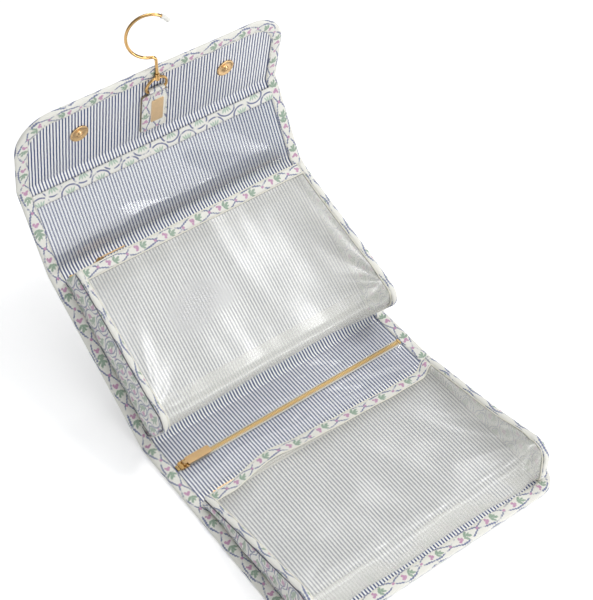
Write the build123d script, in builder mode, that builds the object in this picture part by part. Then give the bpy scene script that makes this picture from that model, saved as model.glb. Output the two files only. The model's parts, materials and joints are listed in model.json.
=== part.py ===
from build123d import *
from math import cos, radians, sin
import os

# Hanging toiletry bag, millimetres, +Z up.
# Five flat sections are joined end to end by four fabric folds.  From the free end to the
# hook they are: front (with the lower box pouch), spine, back (with the upper box pouch),
# top and flap.  The front lies on the table, and the others rise behind it.
# The origin is the middle of the underside of the front section.

# ---- driving dimensions ----
WIDTH = 270.0            # over the edge binding
FRONT_LENGTH = 167.0
SPINE_LENGTH = 71.5
BACK_LENGTH = 170.0
TOP_LENGTH = 79.5
FLAP_LENGTH = 82.0
SPINE_ANGLE = 0.0        # how far each section rises from the table, in degrees
BACK_ANGLE = 35.6
TOP_ANGLE = 61.6
FLAP_ANGLE = 99.6

SKIN = 0.9               # outer cloth and lining, with their seam allowance
BOARD = 1.2              # stiffener between them
THICK = 2 * SKIN + BOARD
BINDING = 11.5           # width of the edge binding on each face
BINDING_WEB = 1.0        # cloth round the edge of the board
FOLD_GAP = 0.15          # half of the space left at a fold
BOARD_SETBACK = 2.5      # the board stops short of each fold
FRONT_CORNER = 20.0
FLAP_CORNER = 35.0

POUCH_HALF = WIDTH / 2 - BINDING       # outer face of the pouch gussets
GUSSET = 1.2
CLEAR = 0.8              # clear vinyl
BAND = 11.0              # printed band along the mouth of a pouch
BAND_THICK = 1.6
PIPING = 2.6
WALL_GAP = 0.1           # under the band, above the zipped end wall
UPPER_DEEP = 60.0        # pouch depths at the two ends
UPPER_SHALLOW = 25.0
UPPER_LOW_END = 6.5      # distance of the deep end from the spine fold
UPPER_HIGH_END = 160.0
LOWER_DEEP = 45.5
LOWER_SHALLOW = 10.5
LOWER_LOW_END = 12.0     # distance of the deep end from the free edge
LOWER_HIGH_END = 158.0
DEEP_CORNER = 15.0
PAST_END = 5.0           # a cut runs this far past the solid that it cuts

POCKET_CLEAR = 0.6       # clear sheet of the flat pockets
POCKET_SETBACK = 1.5     # the flat pockets stop this far from the folds
SLIT = 5.0               # gap between the two clear sheets, under the zip
SPINE_ZIP_AT = 36.0      # middle of the spine's zip, from the front fold
ZIP_HALF = 121.0         # teeth run to this distance each side
TAPE_WIDTH = 12.0
TAPE = 0.4
TEETH_WIDTH = 4.2
TEETH = 1.0
STOP_PAST_TEETH = 0.4    # a stop stands this much above the teeth
SLIDER = (10.0, 8.0, 2.2)
SLIDER_CORNER = 2.0
SLIDER_PLAY = 0.15
PIVOT_PLAY = 0.1         # round the pin of a pull, the ring's bar and the hook's stem
PULL_LENGTH = 27.0
PULL_WIDTH = 8.0
PULL_THICK = 1.0
PIN_RADIUS = 0.55
PIN_HEIGHT = 3.4         # pull pin above the slider's foot
PIN_LENGTH = 5.0
LUG = (2.2, 1.0)         # the two lugs that hold the pin, and how far apart they stand
LUG_SPACING = 4.8
LUG_PAST_PIN = 0.7
PULL_NECK = 3.6          # the pull is this narrow where it passes between the lugs
NECK_LENGTH = 3.0        # and for this far from the pin
PULL_CORNER = 2.0
ZIP_STOP = 2.0           # length of the stop at each end of the teeth
SPINE_SLIDER_AT = -115.5
UPPER_SLIDER_AT = -93.0
LOWER_SLIDER_AT = -112.0
UPPER_TEETH_AT = 15.0    # teeth of the pouch zips, above the lining on the mouth's wall
LOWER_TEETH_AT = 4.8

TRIM_LOW = 60.5          # printed trim across the top section, from the back fold
TRIM_HIGH = 71.5
TRIM_THICK = 1.2

SNAP_SPACING = 148.6
SNAP_AT = 42.0           # snaps, from the top fold
SNAP_RADIUS = 8.7
STUD = (1.6, 1.8)        # heights of a stud's disc and of its post
STUD_POST = 2.4          # radius
SOCKET_PLAY = 0.5

TAB_WIDTH = 27.0
TAB_LOW = 6.5
TAB_HIGH = 53.0
TAB_THICK = 2.0
TAB_CORNER = 2.5
PLATE = (12.0, 27.0, 0.8)
PLATE_CORNER = 1.0
PLATE_AT = (2.5, 30.5)
RING_BAR_AT = 58.0       # bar of the ring, from the top fold
RING_BAR_HEIGHT = 2.6    # and above the lining
RING_WIRE = 1.3          # radius
RING_WIDTH = 20.0
RING_RISE = 14.8
RING_CORNER = 3.0
RING_LEAN = 2.5          # angle of the ring from the flap
LOOP_WIDTH = 15.0
LOOP_CLOTH = 0.9

HOOK_LEAN = -10.1        # angle of the hook's stem from the flap
HOOK_TURN = -19.4        # how far the hook is turned about its stem
HOOK_WIRE = 1.35         # radius
STEM = 15.8
STEM_BEND = 3.7
HOOK_HALF_WIDTH = 20.2
HOOK_HALF_HEIGHT = 21.6
CAP_FROM = 58.4          # the end cap's two ends, as angles round the bow
CAP_TO = 36.7
BOSS_RADIUS = 2.2
BOSS_HEIGHT = 3.4
BOSS_SINK = 0.6          # the boss starts this far inside the ring's centre line
COLLAR = 1.4             # height of the hook's collar above the boss
COLLAR_PLAY = 0.25       # along the stem, above and below the boss
HEAD = (2.0, 1.2)        # radius and height of the stem's head inside the ring
CAP_RADIUS = 2.1

os.makedirs("parts", exist_ok=True)


def save(piece, name):
    piece.part.label = name
    export_step(piece.part, f"parts/{name}.step")


# ---- section planes: x across, y along the section to the hook, z out of the lining ----
def section_plane(along, height, angle):
    normal = (0, -sin(radians(angle)), cos(radians(angle)))
    return Plane(origin=(0, along, height), x_dir=(1, 0, 0), z_dir=normal)


def next_fold(plane, length):
    fold = plane.origin + plane.y_dir * length
    return fold.Y, fold.Z


front = section_plane(-FRONT_LENGTH / 2, THICK, 0)
spine = section_plane(*next_fold(front, FRONT_LENGTH), SPINE_ANGLE)
back = section_plane(*next_fold(spine, SPINE_LENGTH), BACK_ANGLE)
top = section_plane(*next_fold(back, BACK_LENGTH), TOP_ANGLE)
flap = section_plane(*next_fold(top, TOP_LENGTH), FLAP_ANGLE)


def side_plane(plane, across):
    """The section's own side view at a given place across the bag: x along it, y out of it."""
    origin = plane.origin + plane.x_dir * across
    return Plane(origin=origin, x_dir=plane.y_dir, z_dir=plane.x_dir)


# ---- panels ----
def outline(length, inset, fold_inset, low_edge, high_edge):
    """Outline of a section inside its edges.  An edge is None at a fold, or a corner radius."""
    low = fold_inset if low_edge is None else inset
    high = length - (fold_inset if high_edge is None else inset)
    with BuildSketch(Plane.XY) as shape:
        with Locations((0, (low + high) / 2)):
            Rectangle(WIDTH - 2 * inset, high - low)
        if low_edge is not None:
            fillet(shape.vertices().group_by(Axis.Y)[0], low_edge - inset)
        if high_edge is not None:
            fillet(shape.vertices().group_by(Axis.Y)[-1], high_edge - inset)
    return shape.sketch


def panel(name, plane, length, low_edge=None, high_edge=None, sockets=()):
    """The four pieces of one section: outer cloth, board, lining and edge binding."""
    whole = outline(length, 0, FOLD_GAP, low_edge, high_edge)
    window = outline(length, BINDING, FOLD_GAP, low_edge, high_edge)
    past_folds = outline(length, BINDING, -PAST_END, low_edge, high_edge)
    core = outline(length, BINDING_WEB, BOARD_SETBACK, low_edge, high_edge)
    layers = {
        "shell": (window, -THICK, SKIN),
        "board": (core, -THICK + SKIN, BOARD),
        "lining": (window, -SKIN, SKIN),
    }
    for layer, (shape, foot, height) in layers.items():
        with BuildPart() as sheet:
            with BuildSketch(plane.offset(foot)):
                add(shape)
                if layer == "shell" and sockets:
                    with Locations(*sockets):
                        Circle(SNAP_RADIUS, mode=Mode.SUBTRACT)
            extrude(amount=height)
        save(sheet, f"{name}_{layer}")
    with BuildPart() as binding:
        with BuildSketch(plane.offset(-THICK)):
            add(whole)
        extrude(amount=THICK)
        with BuildSketch(plane.offset(-THICK)):
            add(past_folds)
        extrude(amount=THICK, mode=Mode.SUBTRACT)
        with BuildSketch(plane.offset(-THICK + SKIN)):
            add(core)
        extrude(amount=BOARD, mode=Mode.SUBTRACT)
    save(binding, f"{name}_binding")


# In the closed bag the front's free edge stops a little short of the top section, so the
# sockets are that much nearer to it than the studs are to the top fold.
stud_places = [(-SNAP_SPACING / 2, SNAP_AT), (SNAP_SPACING / 2, SNAP_AT)]
socket_at = SNAP_AT - (BACK_LENGTH - FRONT_LENGTH)
socket_places = [(-SNAP_SPACING / 2, socket_at), (SNAP_SPACING / 2, socket_at)]

panel("front", front, FRONT_LENGTH, low_edge=FRONT_CORNER, sockets=socket_places)
panel("spine", spine, SPINE_LENGTH)
panel("back", back, BACK_LENGTH)
panel("top", top, TOP_LENGTH)
panel("flap", flap, FLAP_LENGTH, high_edge=FLAP_CORNER)


def slab(plane, x_range, y_range, foot, height):
    """A rectangular plate on a section."""
    with BuildPart() as plate:
        with BuildSketch(plane.offset(foot)):
            with Locations((sum(x_range) / 2, sum(y_range) / 2)):
                Rectangle(x_range[1] - x_range[0], y_range[1] - y_range[0])
        extrude(amount=height)
    return plate


# ---- zips: plane origin on the middle of the tape, x along the teeth, z out of the cloth ----
def zip_teeth(name, plane):
    with BuildPart() as teeth:
        with BuildSketch(plane):
            Rectangle(2 * ZIP_HALF, TEETH_WIDTH)
        extrude(amount=TEETH)
    save(teeth, f"{name}_zip_teeth")
    with BuildPart() as stops:
        with BuildSketch(plane):
            with Locations((-ZIP_HALF - ZIP_STOP / 2, 0), (ZIP_HALF + ZIP_STOP / 2, 0)):
                Rectangle(ZIP_STOP, TEETH_WIDTH + 1)
        extrude(amount=TEETH + STOP_PAST_TEETH)
    save(stops, f"{name}_zip_stops")


def zip_slider(name, plane, place):
    """Slider body with a channel over the teeth, two lugs and the pin of its pull."""
    length, width, height = SLIDER
    foot = plane.offset(SLIDER_PLAY)
    channel_width = TEETH_WIDTH + 2 * SLIDER_PLAY
    with BuildPart() as slider:
        with BuildSketch(foot):
            with Locations((place, 0)):
                RectangleRounded(length, width, SLIDER_CORNER)
        extrude(amount=height)
        with BuildSketch(foot):
            with Locations((place, 0)):
                Rectangle(length + 1, channel_width)
        extrude(amount=TEETH + SLIDER_PLAY, mode=Mode.SUBTRACT)
        with BuildSketch(foot.offset(height)):
            with Locations((place, -LUG_SPACING / 2), (place, LUG_SPACING / 2)):
                Rectangle(*LUG)
        extrude(amount=PIN_HEIGHT - height + LUG_PAST_PIN)
        pin_plane = Plane(
            origin=foot.origin + foot.x_dir * place + foot.z_dir * PIN_HEIGHT,
            x_dir=foot.x_dir,
            z_dir=foot.y_dir,
        )
        with BuildSketch(pin_plane):
            Circle(PIN_RADIUS)
        extrude(amount=PIN_LENGTH / 2, both=True)
    save(slider, f"{name}_slider")
    with BuildPart() as pull:
        with BuildSketch(pin_plane):
            Circle(PULL_THICK)
            with Locations((PULL_LENGTH / 2, 0)):
                Rectangle(PULL_LENGTH, PULL_THICK)
            Circle(PIN_RADIUS + PIVOT_PLAY, mode=Mode.SUBTRACT)
        extrude(amount=PULL_WIDTH / 2, both=True)
        beside_neck = (PULL_NECK + PULL_WIDTH) / 2
        with BuildSketch(foot.offset(PIN_HEIGHT - PULL_THICK)):
            with Locations((place, -beside_neck), (place, beside_neck)):
                Rectangle(2 * NECK_LENGTH, PULL_WIDTH)
        extrude(amount=2 * PULL_THICK, mode=Mode.SUBTRACT)
        tip = pull.edges().filter_by(lambda edge: edge.length < 1.5).sort_by(Axis.X)[-2:]
        fillet(tip, PULL_CORNER)
    save(pull, f"{name}_pull")


# ---- box pouches ----
def pouch_profile(deep, shallow, low_end, high_end, inset=0):
    """Side view of a pouch.  With an inset it is the hollow, run out past the open ends."""
    slope = (deep - shallow) / (high_end - low_end)
    drop = inset * (1 + slope ** 2) ** 0.5
    low = low_end + inset
    high = high_end + (PAST_END if inset else 0)
    foot = -PAST_END if inset else 0
    with BuildSketch(Plane.XY) as shape:
        with BuildLine():
            Polyline(
                (low, foot),
                (low, deep - drop - slope * inset),
                (high, deep - drop - slope * (high - low_end)),
                (high, foot),
                close=True,
            )
        make_face()
        corner = shape.vertices().sort_by_distance((low, deep, 0))[0]
        fillet(corner, DEEP_CORNER - inset)
    return shape.sketch


def skin(plane, sizes, thickness, across, spans):
    """The outer skin of a pouch between two places along it, over one or more widths."""
    low, high = spans
    with BuildPart() as piece:
        for start, width in across:
            with BuildSketch(side_plane(plane, start)):
                add(pouch_profile(*sizes))
                add(pouch_profile(*sizes, thickness), mode=Mode.SUBTRACT)
                with Locations(((low + high) / 2, 0)):
                    Rectangle(high - low, 3 * UPPER_DEEP, mode=Mode.INTERSECT)
            extrude(amount=width)
    return piece


def pouch(name, plane, deep, shallow, low_end, high_end):
    """Gussets, clear front, mouth band, piping and the zipped end wall of one box pouch."""
    sizes = (deep, shallow, low_end, high_end)
    inner_half = POUCH_HALF - GUSSET
    for side, start in (("left", -POUCH_HALF), ("right", inner_half)):
        with BuildPart() as gusset:
            with BuildSketch(side_plane(plane, start)):
                add(pouch_profile(*sizes))
            extrude(amount=GUSSET)
        save(gusset, f"{name}_gusset_{side}")
    mouth = high_end - BAND
    between = [(-inner_half, 2 * inner_half)]
    outside = [(-POUCH_HALF - PIPING / 2, PIPING / 2), (POUCH_HALF, PIPING / 2)]
    save(skin(plane, sizes, CLEAR, between, (0, mouth)), f"{name}_clear_front")
    save(skin(plane, sizes, BAND_THICK, between, (mouth, high_end)), f"{name}_band")
    save(skin(plane, sizes, PIPING, outside, (0, high_end)), f"{name}_piping")
    wall_top = shallow - BAND_THICK - WALL_GAP
    wall = slab(plane, (-inner_half, inner_half), (high_end - CLEAR, high_end), 0, wall_top)
    save(wall, f"{name}_zip_tape")


def wall_plane(plane, high_end, height):
    """Plane of a pouch's zipped end wall, facing the hook end of the bag."""
    origin = plane.origin + plane.y_dir * high_end + plane.z_dir * height
    return Plane(origin=origin, x_dir=plane.x_dir, z_dir=plane.y_dir)


pouch("upper", back, UPPER_DEEP, UPPER_SHALLOW, UPPER_LOW_END, UPPER_HIGH_END)
upper_wall = wall_plane(back, UPPER_HIGH_END, UPPER_TEETH_AT)
zip_teeth("upper", upper_wall)
zip_slider("upper", upper_wall, UPPER_SLIDER_AT)

pouch("lower", front, LOWER_DEEP, LOWER_SHALLOW, LOWER_LOW_END, LOWER_HIGH_END)
lower_wall = wall_plane(front, LOWER_HIGH_END, LOWER_TEETH_AT)
zip_teeth("lower", lower_wall)
zip_slider("lower", lower_wall, LOWER_SLIDER_AT)

# ---- flat zip pocket on the spine ----
tape_low = SPINE_ZIP_AT - TAPE_WIDTH / 2
tape_high = SPINE_ZIP_AT + TAPE_WIDTH / 2
pocket_across = (-POUCH_HALF, POUCH_HALF)
low_span = (POCKET_SETBACK, SPINE_ZIP_AT - SLIT / 2)
high_span = (SPINE_ZIP_AT + SLIT / 2, SPINE_LENGTH - POCKET_SETBACK)
save(slab(spine, pocket_across, low_span, 0, POCKET_CLEAR), "spine_clear_low")
save(slab(spine, pocket_across, high_span, 0, POCKET_CLEAR), "spine_clear_high")
tape_half = ZIP_HALF + ZIP_STOP
tape = slab(spine, (-tape_half, tape_half), (tape_low, tape_high), POCKET_CLEAR, TAPE)
save(tape, "spine_zip_tape")
spine_zip = spine.offset(POCKET_CLEAR + TAPE)
spine_zip = spine_zip.shift_origin(spine_zip.from_local_coords((0, SPINE_ZIP_AT, 0)))
zip_teeth("spine", spine_zip)
zip_slider("spine", spine_zip, SPINE_SLIDER_AT)

# ---- clear slip pocket on the top section, with its printed trim ----
top_clear = slab(top, pocket_across, (POCKET_SETBACK, TRIM_LOW), 0, POCKET_CLEAR)
save(top_clear, "top_pocket_clear")
trim = slab(top, pocket_across, (TRIM_LOW, TRIM_HIGH), 0, TRIM_THICK)
save(trim, "top_pocket_trim")

# ---- magnetic snaps: studs on the flap's lining, sockets on the front's outer cloth ----
with BuildPart() as studs:
    with BuildSketch(flap):
        with Locations(*stud_places):
            Circle(SNAP_RADIUS)
    extrude(amount=STUD[0])
    with BuildSketch(flap.offset(STUD[0])):
        with Locations(*stud_places):
            Circle(STUD_POST)
    extrude(amount=STUD[1])
save(studs, "snap_studs")

with BuildPart() as sockets:
    with BuildSketch(front.offset(-THICK)):
        with Locations(*socket_places):
            Circle(SNAP_RADIUS)
            Circle(STUD_POST + SOCKET_PLAY, mode=Mode.SUBTRACT)
    extrude(amount=SKIN)
save(sockets, "snap_sockets")

# ---- hanging tab on the flap ----
with BuildPart() as tab:
    with BuildSketch(flap):
        with Locations((0, (TAB_LOW + TAB_HIGH) / 2)):
            RectangleRounded(TAB_WIDTH, TAB_HIGH - TAB_LOW, TAB_CORNER)
    extrude(amount=TAB_THICK)
save(tab, "hanging_tab")

with BuildPart() as plate:
    with BuildSketch(flap.offset(TAB_THICK)):
        with Locations(PLATE_AT):
            RectangleRounded(PLATE[0], PLATE[1], PLATE_CORNER)
    extrude(amount=PLATE[2])
save(plate, "tab_plate")

bar = side_plane(flap, 0)
loop_radius = RING_WIRE + PIVOT_PLAY + LOOP_CLOTH
with BuildPart() as loop:
    with BuildSketch(bar):
        with Locations((RING_BAR_AT, RING_BAR_HEIGHT)):
            Circle(loop_radius)
        with Locations(((TAB_HIGH + RING_BAR_AT) / 2, loop_radius / 2)):
            Rectangle(RING_BAR_AT - TAB_HIGH, loop_radius)
        with Locations((RING_BAR_AT, RING_BAR_HEIGHT)):
            Circle(RING_WIRE + PIVOT_PLAY, mode=Mode.SUBTRACT)
    extrude(amount=LOOP_WIDTH / 2, both=True)
save(loop, "tab_loop")

# ---- D-ring: straight bar through the loop, rounded bow, and the swivel's boss ----
bar_point = flap.from_local_coords((0, RING_BAR_AT, RING_BAR_HEIGHT))
ring_angle = FLAP_ANGLE + RING_LEAN
ring_plane = Plane(
    origin=bar_point,
    x_dir=(1, 0, 0),
    z_dir=(0, -sin(radians(ring_angle)), cos(radians(ring_angle))),
)
stem_angle = FLAP_ANGLE + HOOK_LEAN
stem_dir = Vector(0, cos(radians(stem_angle)), sin(radians(stem_angle)))
boss_point = ring_plane.from_local_coords((0, RING_RISE + BOSS_HEIGHT / 2 - BOSS_SINK, 0))
stem_plane = Plane(origin=boss_point, x_dir=(1, 0, 0), z_dir=stem_dir)
bow = RING_WIDTH / 2
with BuildPart() as ring:
    with BuildLine(ring_plane) as path:
        Line((-bow, 0), (bow, 0))
        Line((bow, 0), (bow, RING_RISE - bow))
        RadiusArc((bow, RING_RISE - bow), (-bow, RING_RISE - bow), -bow)
        Line((-bow, RING_RISE - bow), (-bow, 0))
        fillet(path.vertices().filter_by_position(Axis.Z, 0, bar_point.Z + 0.1), RING_CORNER)
    start = path.wires()[0]
    with BuildSketch(Plane(origin=start @ 0, z_dir=start % 0)):
        Circle(RING_WIRE)
    sweep(path=path.wires()[0])
    with BuildSketch(stem_plane.offset(-BOSS_HEIGHT / 2)):
        Circle(BOSS_RADIUS)
    extrude(amount=BOSS_HEIGHT)
    with BuildSketch(stem_plane.offset(-BOSS_HEIGHT)):
        Circle(HOOK_WIRE + PIVOT_PLAY)
    extrude(amount=2 * BOSS_HEIGHT, mode=Mode.SUBTRACT)
save(ring, "d_ring")

# ---- swivel hook: stem through the boss, open bow, end cap and the head inside the ring ----
head_at = BOSS_HEIGHT / 2 + COLLAR_PLAY
h_dir = Vector(1, 0, 0).rotate(Axis((0, 0, 0), stem_dir), HOOK_TURN)
hook_plane = Plane(origin=boss_point, x_dir=h_dir, z_dir=h_dir.cross(stem_dir))
bow_foot = BOSS_HEIGHT / 2 + STEM + STEM_BEND
bow_centre = (-STEM_BEND, bow_foot + HOOK_HALF_HEIGHT)


def on_stem(height):
    """Plane square to the stem, before the hook is put in its place."""
    return Plane(origin=(0, height, 0), x_dir=(1, 0, 0), z_dir=(0, 1, 0))


with BuildPart() as level_hook:
    with BuildLine(Plane.XY) as wire:
        Line((0, -head_at), (0, bow_foot - STEM_BEND))
        TangentArc((0, bow_foot - STEM_BEND), (-STEM_BEND, bow_foot), tangent=(0, 1))
        EllipticalCenterArc(
            bow_centre,
            HOOK_HALF_WIDTH,
            HOOK_HALF_HEIGHT,
            start_angle=-90,
            arc_size=CAP_FROM - 270,
        )
    with BuildSketch(on_stem(-head_at)):
        Circle(HOOK_WIRE)
    sweep(path=wire.wires()[0])
    with BuildSketch(on_stem(head_at)):
        Circle(BOSS_RADIUS)
    extrude(amount=COLLAR)
with BuildPart() as hook:
    with Locations(hook_plane.location):
        add(level_hook.part)
save(hook, "swivel_hook")

with BuildPart() as head:
    with BuildSketch(stem_plane.offset(-head_at - HEAD[1])):
        Circle(HEAD[0])
    extrude(amount=HEAD[1])
save(head, "swivel_head")

with BuildPart() as cap:
    with BuildLine(hook_plane) as cap_path:
        EllipticalCenterArc(
            bow_centre,
            HOOK_HALF_WIDTH,
            HOOK_HALF_HEIGHT,
            start_angle=CAP_FROM,
            arc_size=CAP_TO - CAP_FROM,
        )
    with BuildSketch(Plane(origin=cap_path.wires()[0] @ 0, z_dir=cap_path.wires()[0] % 0)):
        Circle(CAP_RADIUS)
    sweep(path=cap_path.wires()[0])
save(cap, "hook_cap")
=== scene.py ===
import json
import math

import bpy
from mathutils import Matrix, Vector, noise

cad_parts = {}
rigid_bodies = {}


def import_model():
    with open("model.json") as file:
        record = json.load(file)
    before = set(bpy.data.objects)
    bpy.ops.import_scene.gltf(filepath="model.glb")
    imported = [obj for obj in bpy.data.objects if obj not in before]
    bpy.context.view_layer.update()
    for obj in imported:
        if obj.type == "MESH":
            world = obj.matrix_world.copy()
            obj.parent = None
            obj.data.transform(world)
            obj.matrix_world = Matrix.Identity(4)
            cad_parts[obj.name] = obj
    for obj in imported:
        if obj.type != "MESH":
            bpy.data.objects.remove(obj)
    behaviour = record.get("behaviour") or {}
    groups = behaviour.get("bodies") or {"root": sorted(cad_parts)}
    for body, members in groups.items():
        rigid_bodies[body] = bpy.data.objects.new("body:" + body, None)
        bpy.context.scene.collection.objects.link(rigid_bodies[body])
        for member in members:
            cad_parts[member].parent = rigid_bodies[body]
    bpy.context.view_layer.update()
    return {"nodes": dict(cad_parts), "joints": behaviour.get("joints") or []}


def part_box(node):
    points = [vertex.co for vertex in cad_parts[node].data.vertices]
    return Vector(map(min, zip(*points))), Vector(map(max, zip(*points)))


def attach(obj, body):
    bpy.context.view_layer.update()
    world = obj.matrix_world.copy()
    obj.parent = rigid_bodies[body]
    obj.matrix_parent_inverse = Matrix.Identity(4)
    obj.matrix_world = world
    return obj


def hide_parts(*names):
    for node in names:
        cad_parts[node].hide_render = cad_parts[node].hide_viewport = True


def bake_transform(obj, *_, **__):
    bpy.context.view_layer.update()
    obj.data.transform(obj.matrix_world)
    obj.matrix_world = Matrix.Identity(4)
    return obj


for old in list(bpy.data.objects):
    bpy.data.objects.remove(old)
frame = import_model()

MM = 0.001
joints = {joint["name"]: joint for joint in frame["joints"]}
TAU = 2 * math.pi
ACROSS = Vector((1, 0, 0))

# --------------------
# The five sections, read from the frame.  x is across the bag, v runs along its
# inner face from the free edge of the front to the free edge of the flap, and n
# is the height over that face, towards the inside of the bag.
# --------------------
BODIES = ["front", "spine", "back", "top", "flap"]
FOLDS = ["spine_fold", "back_fold", "top_fold", "flap_fold"]
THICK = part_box("spine_board")[1].z + 0.9 * MM
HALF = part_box("spine_binding")[1].x
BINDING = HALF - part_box("spine_lining")[1].x
FOLD = 4 * MM             # each fold bends over this length on either side
LAYER_INSET = 1.5 * MM    # the layers stop this far inside the bag's long edges
LINING_AT = -0.1 * MM
OUTER_AT = -THICK + 0.35 * MM
SHEET_COLUMNS = 80
FRONT_CORNER = 20 * MM
FLAP_CORNER = 35 * MM


def smooth(t):
    t = min(1, max(0, t))
    return t * t * (3 - 2 * t)


def bump(t, centre, width):
    """A smooth hill of height 1 about a place, gone at its width."""
    return smooth(1 - abs(t - centre) / width)


def section_frames():
    points = [Vector(joints[name]["pos_m"]).yz for name in FOLDS]
    points.insert(0, Vector((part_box("front_binding")[0].y, points[0].y)))
    angles = [math.atan2(*(b - a).yx) for a, b in zip(points, points[1:])]
    angles.append(angles[-1] - math.radians(joints["flap_fold"]["range_deg"][0]))
    starts = [0]
    for a, b in zip(points, points[1:]):
        starts.append(starts[-1] + (b - a).length)
    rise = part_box("flap_binding")[1].z - points[-1].y + THICK * math.cos(angles[-1])
    ends = starts[1:] + [starts[-1] + rise / math.sin(angles[-1])]
    return list(zip(points, angles, starts, ends))


# One row for each section: its low end in the YZ plane, its slope, and where it starts and ends.
SECTIONS = section_frames()
START = {body: section[2] for body, section in zip(BODIES, SECTIONS)}
END = {body: section[3] for body, section in zip(BODIES, SECTIONS)}
LENGTH = END["flap"]
MIDDLE = {body: (START[body] + END[body]) / 2 for body in BODIES}


def on_section(index, x, v, n):
    point, angle, start, _ = SECTIONS[index]
    along, out = math.cos(angle), math.sin(angle)
    s = v - start
    return Vector((x, point.x + s * along - n * out, point.y + s * out + n * along))


def at(x, v, n=0.0):
    """A point of the bag.  Near a fold it passes smoothly from one section to the next."""
    for index in range(1, len(SECTIONS)):
        past = v - SECTIONS[index][2]
        if abs(past) < FOLD:
            before = on_section(index - 1, x, v, n)
            return before.lerp(on_section(index, x, v, n), smooth((past + FOLD) / (2 * FOLD)))
    index = max(i for i, section in enumerate(SECTIONS) if v >= section[2] or i == 0)
    return on_section(index, x, v, n)


def wave(x, v):
    """The gentle unevenness of the soft panels, the same for every layer."""
    slow = math.sin(21 * x + 1.3) * math.sin(17 * v + 0.4)
    fast = math.sin(55 * x + 31 * v) * 0.35
    return 0.45 * MM * (slow + fast)


def half_width(v, inset):
    """Half the width of the bag at a place along it, inside its edge by an inset."""
    wide = HALF - inset
    for distance, corner in ((v, FRONT_CORNER), (LENGTH - v, FLAP_CORNER)):
        radius = corner - inset
        gap = corner - distance
        if gap > 0:
            wide = min(wide, HALF - corner + math.sqrt(max(0, radius ** 2 - gap ** 2)))
    return wide


# --------------------
# Materials.  A Value is a number in a node tree, so patterns read as arithmetic.
# --------------------
class Value:
    def __init__(self, tree, source):
        self.tree = tree
        self.source = source

    def math(self, operation, *others):
        node = self.tree.nodes.new("ShaderNodeMath")
        node.operation = operation
        for socket, other in zip(node.inputs, (self, *others)):
            if isinstance(other, Value):
                self.tree.links.new(other.source, socket)
            else:
                socket.default_value = other
        return Value(self.tree, node.outputs[0])

    def __add__(self, other):
        return self.math("ADD", other)

    def __sub__(self, other):
        return self.math("SUBTRACT", other)

    def __mul__(self, other):
        return self.math("MULTIPLY", other)

    def __truediv__(self, other):
        return self.math("DIVIDE", other)

    def sin(self):
        return self.math("SINE")

    def abs(self):
        return self.math("ABSOLUTE")

    def root(self):
        return self.math("SQRT")

    def least(self, other):
        return self.math("MINIMUM", other)

    def most(self, other):
        return self.math("MAXIMUM", other)

    def wrap(self, half):
        return self.math("WRAP", half, -half)

    def below(self, edge, soft):
        """1 below an edge and 0 above it, with a soft step between."""
        node = self.tree.nodes.new("ShaderNodeMapRange")
        self.tree.links.new(self.source, node.inputs["Value"])
        node.inputs["From Min"].default_value = edge - soft
        node.inputs["From Max"].default_value = edge + soft
        node.inputs["To Min"].default_value = 1
        node.inputs["To Max"].default_value = 0
        return Value(self.tree, node.outputs[0])


class Paint:
    """One material: its node tree, its Principled shader and the cloth's own coordinates."""

    def __init__(self, name, **sockets):
        self.material = bpy.data.materials.new(name)
        self.material.use_nodes = True
        self.tree = self.material.node_tree
        self.shader = self.tree.nodes["Principled BSDF"]
        for socket, value in sockets.items():
            self.shader.inputs[socket.replace("_", " ")].default_value = value

    def node(self, kind, **inputs):
        node = self.tree.nodes.new(kind)
        for socket, value in inputs.items():
            node.inputs[socket.replace("_", " ")].default_value = value
        return node

    def cloth_place(self):
        """Place on the cloth in millimetres: across and along."""
        uv = self.node("ShaderNodeUVMap")
        uv.uv_map = "cloth"
        parts = self.node("ShaderNodeSeparateXYZ")
        self.tree.links.new(uv.outputs[0], parts.inputs[0])
        return [Value(self.tree, parts.outputs[i]) * 1000 for i in (0, 1)]

    def noise(self, scale, detail=2.0, on_cloth=False):
        node = self.node("ShaderNodeTexNoise", Scale=scale, Detail=detail)
        if on_cloth:
            source = self.node("ShaderNodeUVMap")
            source.uv_map = "cloth"
            self.tree.links.new(source.outputs[0], node.inputs["Vector"])
        else:
            source = self.node("ShaderNodeTexCoord")
            self.tree.links.new(source.outputs["Object"], node.inputs["Vector"])
        return Value(self.tree, node.outputs["Fac"])

    def wobble(self, scale, size):
        """An uneven shift along the cloth, up to half a size either way."""
        return (self.noise(scale, on_cloth=True) - 0.5) * size

    def layer(self, under, share, scale, first, second):
        """A mottled ink of two tones laid over a colour."""
        tone = self.mix(self.noise(scale, on_cloth=True), first, second)
        return self.mix(share, under, tone)

    def mix(self, share, first, second):
        """A colour between two, each a colour or a socket."""
        node = self.node("ShaderNodeMix")
        node.data_type = "RGBA"
        self.tree.links.new(share.source, node.inputs["Factor"])
        for socket, colour in ((node.inputs[6], first), (node.inputs[7], second)):
            if isinstance(colour, tuple):
                socket.default_value = (*colour, 1)
            else:
                self.tree.links.new(colour, socket)
        return node.outputs[2]

    def colour(self, socket):
        self.tree.links.new(socket, self.shader.inputs["Base Color"])

    def relief(self, height, strength, distance):
        node = self.node("ShaderNodeBump", Strength=strength, Distance=distance)
        self.tree.links.new(height.source, node.inputs["Height"])
        self.tree.links.new(node.outputs[0], self.shader.inputs["Normal"])

    def roughness(self, value):
        self.tree.links.new(value.source, self.shader.inputs["Roughness"])


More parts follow.
